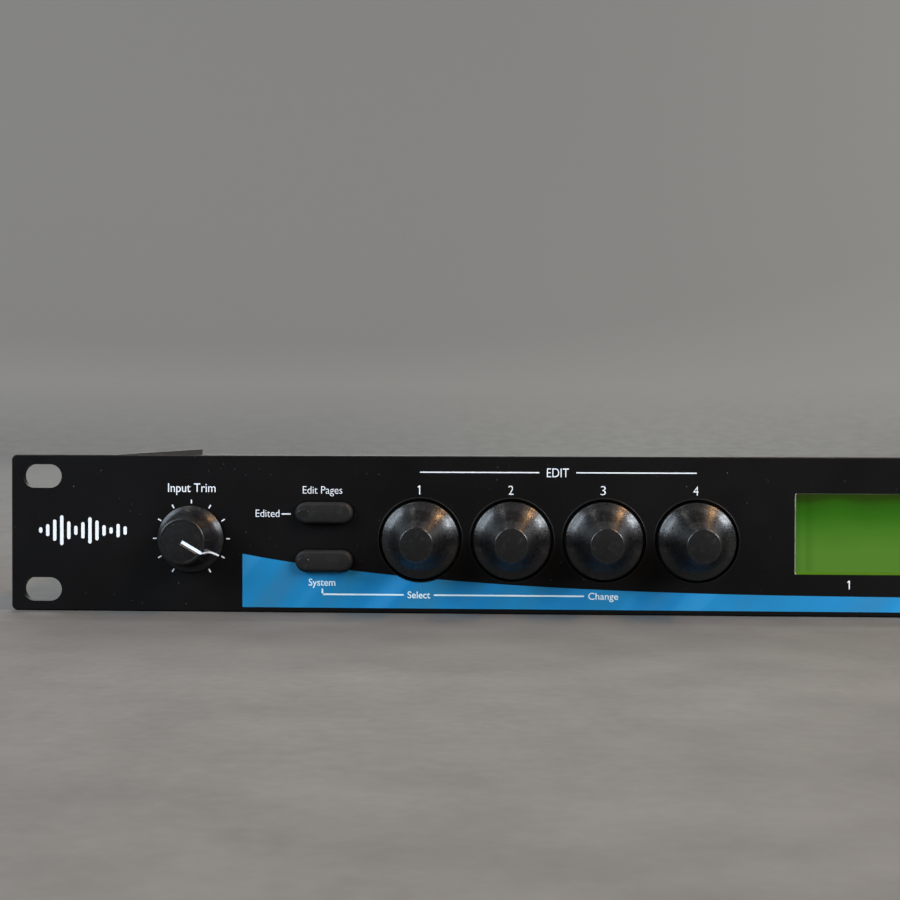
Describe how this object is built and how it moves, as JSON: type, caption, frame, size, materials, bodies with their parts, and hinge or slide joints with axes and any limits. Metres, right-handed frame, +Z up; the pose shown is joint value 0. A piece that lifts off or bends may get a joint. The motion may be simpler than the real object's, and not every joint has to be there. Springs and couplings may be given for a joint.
{
  "type": "rack effects unit",
  "caption": "One-unit 19-inch rack effects processor: slotted front panel with trim knob, edit knobs, rubber keys and green display, steel case and rear sockets.",
  "frame": {"origin": "middle of the unit's width and depth, at the level it stands on", "axes": "+X to the right seen from the front, +Y from the front panel to the rear, +Z up"},
  "size_m": [0.4826, 0.1676, 0.0437],
  "materials": {
    "panel_black": "satin black paint with screened print",
    "chassis_black": "fine-textured black powder coat",
    "knob_black": "semi-gloss moulded black",
    "key_rubber": "matte dark grey silicone",
    "window_clear": "clear polished acrylic",
    "lcd_green": "backlit yellow-green liquid crystal",
    "gasket_foam": "black foam",
    "bezel_steel": "tinned",
    "diffuser_white": "milky light guide",
    "board_green": "solder-masked laminate",
    "zinc_steel": "bright zinc plate",
    "black_screws": "black oxide",
    "chip_black": "moulded epoxy",
    "capacitor_sleeve": "shrink sleeve",
    "aluminium_plain": "plain",
    "fuse_glass": "clear",
    "core_steel": "varnished laminations",
    "winding_tape": "amber tape",
    "cable_grey": "flat cable sheath",
    "led_dark": "tinted lens, unlit",
    "led_green": "tinted lens, unlit",
    "switch_black": "moulded",
    "socket_black": "moulded",
    "nickel": "bright nickel plate"
  },
  "bodies": {
    "unit": {"front_panel": "panel_black", "panel_studs": "zinc_steel", "panel_nuts": "zinc_steel", "chassis": "chassis_black", "top_cover": "chassis_black", "cover_screws": "black_screws", "display_window": "window_clear", "display_gasket": "gasket_foam", "lcd_bezel": "bezel_steel", "lcd_glass": "lcd_green", "lcd_backlight": "diffuser_white", "lcd_board": "board_green", "left_control_board": "board_green", "right_control_board": "board_green", "main_board": "board_green", "power_board": "board_green", "board_spacers": "zinc_steel", "board_screws": "zinc_steel", "circuit_chips": "chip_black", "capacitors": "capacitor_sleeve", "heat_sink": "aluminium_plain", "mains_fuse": "fuse_glass", "transformer_core": "core_steel", "transformer_winding": "winding_tape", "ribbon_cable": "cable_grey", "ribbon_headers": "chip_black", "encoder_bodies": "chip_black", "trim_potentiometer": "chip_black", "keypad_mats": "key_rubber", "key_leds": "led_dark", "meter_leds": "led_green", "power_switch_body": "switch_black", "mains_inlet": "switch_black", "inlet_pins": "nickel", "rear_screws": "black_screws", "midi_sockets": "socket_black", "midi_inserts": "socket_black", "phono_sockets": "socket_black", "phono_shells": "nickel", "jack_sockets": "socket_black", "jack_nuts": "nickel"},
    "trim_control": {"trim_knob": "knob_black", "trim_shaft": "aluminium_plain"},
    "program_control": {"program_knob": "knob_black", "program_shaft": "aluminium_plain"},
    "power_rocker": {"power_rocker": "switch_black"},
    "edit_control_1": {"edit_knob_1": "knob_black", "edit_shaft_1": "aluminium_plain"},
    "edit_control_2": {"edit_knob_2": "knob_black", "edit_shaft_2": "aluminium_plain"},
    "edit_control_3": {"edit_knob_3": "knob_black", "edit_shaft_3": "aluminium_plain"},
    "edit_control_4": {"edit_knob_4": "knob_black", "edit_shaft_4": "aluminium_plain"},
    "key_edit_pages": {"key_edit_pages": "key_rubber"},
    "key_system": {"key_system": "key_rubber"},
    "key_load": {"key_load": "key_rubber"},
    "key_store": {"key_store": "key_rubber"},
    "key_tap": {"key_tap": "key_rubber"},
    "key_bypass": {"key_bypass": "key_rubber"}
  },
  "joints": [
    {"name": "trim_turn", "type": "hinge", "parent": "unit", "child": "trim_control", "pos_m": [-0.1903, -0.06675, 0.0204], "axis": [0, 1, 0], "range_deg": [-270, 30]},
    {"name": "edit_turn_1", "type": "hinge", "parent": "unit", "child": "edit_control_1", "pos_m": [-0.1262, -0.06675, 0.0204], "axis": [0, 1, 0], "continuous": true},
    {"name": "edit_turn_2", "type": "hinge", "parent": "unit", "child": "edit_control_2", "pos_m": [-0.1008, -0.06675, 0.0204], "axis": [0, 1, 0], "continuous": true},
    {"name": "edit_turn_3", "type": "hinge", "parent": "unit", "child": "edit_control_3", "pos_m": [-0.0754, -0.06675, 0.0204], "axis": [0, 1, 0], "continuous": true},
    {"name": "edit_turn_4", "type": "hinge", "parent": "unit", "child": "edit_control_4", "pos_m": [-0.05, -0.06675, 0.0204], "axis": [0, 1, 0], "continuous": true},
    {"name": "program_turn", "type": "hinge", "parent": "unit", "child": "program_control", "pos_m": [0.1297, -0.06675, 0.0204], "axis": [0, 1, 0], "continuous": true},
    {"name": "power_rock", "type": "hinge", "parent": "unit", "child": "power_rocker", "pos_m": [0.1977, -0.06375, 0.02183], "axis": [1, 0, 0], "range_deg": [0, 16]},
    {"name": "key_edit_pages_press", "type": "slide", "parent": "unit", "child": "key_edit_pages", "axis": [0, 1, 0], "range_m": [0, 0.001], "stiffness_N_per_m": 500, "springref_m": -0.0005},
    {"name": "key_system_press", "type": "slide", "parent": "unit", "child": "key_system", "axis": [0, 1, 0], "range_m": [0, 0.001], "stiffness_N_per_m": 500, "springref_m": -0.0005},
    {"name": "key_load_press", "type": "slide", "parent": "unit", "child": "key_load", "axis": [0, 1, 0], "range_m": [0, 0.001], "stiffness_N_per_m": 500, "springref_m": -0.0005},
    {"name": "key_store_press", "type": "slide", "parent": "unit", "child": "key_store", "axis": [0, 1, 0], "range_m": [0, 0.001], "stiffness_N_per_m": 500, "springref_m": -0.0005},
    {"name": "key_tap_press", "type": "slide", "parent": "unit", "child": "key_tap", "axis": [0, 1, 0], "range_m": [0, 0.001], "stiffness_N_per_m": 500, "springref_m": -0.0005},
    {"name": "key_bypass_press", "type": "slide", "parent": "unit", "child": "key_bypass", "axis": [0, 1, 0], "range_m": [0, 0.001], "stiffness_N_per_m": 500, "springref_m": -0.0005}
  ]
}
